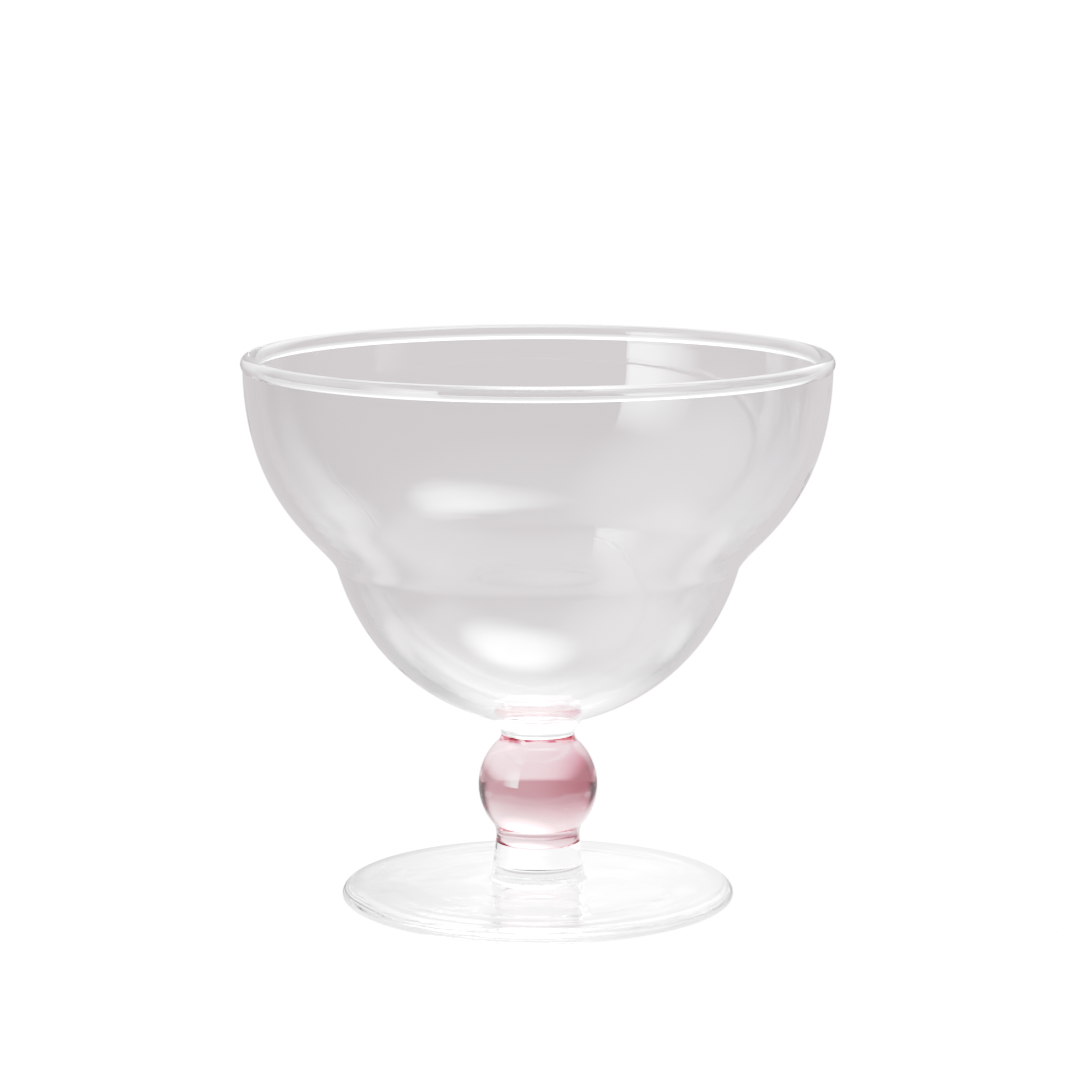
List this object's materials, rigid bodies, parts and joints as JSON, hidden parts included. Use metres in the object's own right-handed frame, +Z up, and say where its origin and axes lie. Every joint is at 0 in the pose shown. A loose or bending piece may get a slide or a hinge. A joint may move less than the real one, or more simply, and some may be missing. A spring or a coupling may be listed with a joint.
{
  "type": "stemmed glass",
  "caption": "Stemmed dessert glass with a two-tier clear bowl, a rolled rim, a pink ball in the stem and a round flat foot.",
  "frame": {"origin": "centre of the foot's flat underside, on the surface the glass stands on", "axes": "+Z up along the axis of the turned form, from the foot to the rim; X and Y level, free to choose because the form is round"},
  "size_m": [0.112, 0.112, 0.1056],
  "materials": {
    "clear_glass": "fire-polished clear borosilicate",
    "pink_glass": "fire-polished pink borosilicate, coloured through"
  },
  "bodies": {
    "root": {"foot": "clear_glass", "lower_stem": "clear_glass", "stem_ball": "pink_glass", "upper_collar": "clear_glass", "bowl": "clear_glass"}
  },
  "joints": []
}
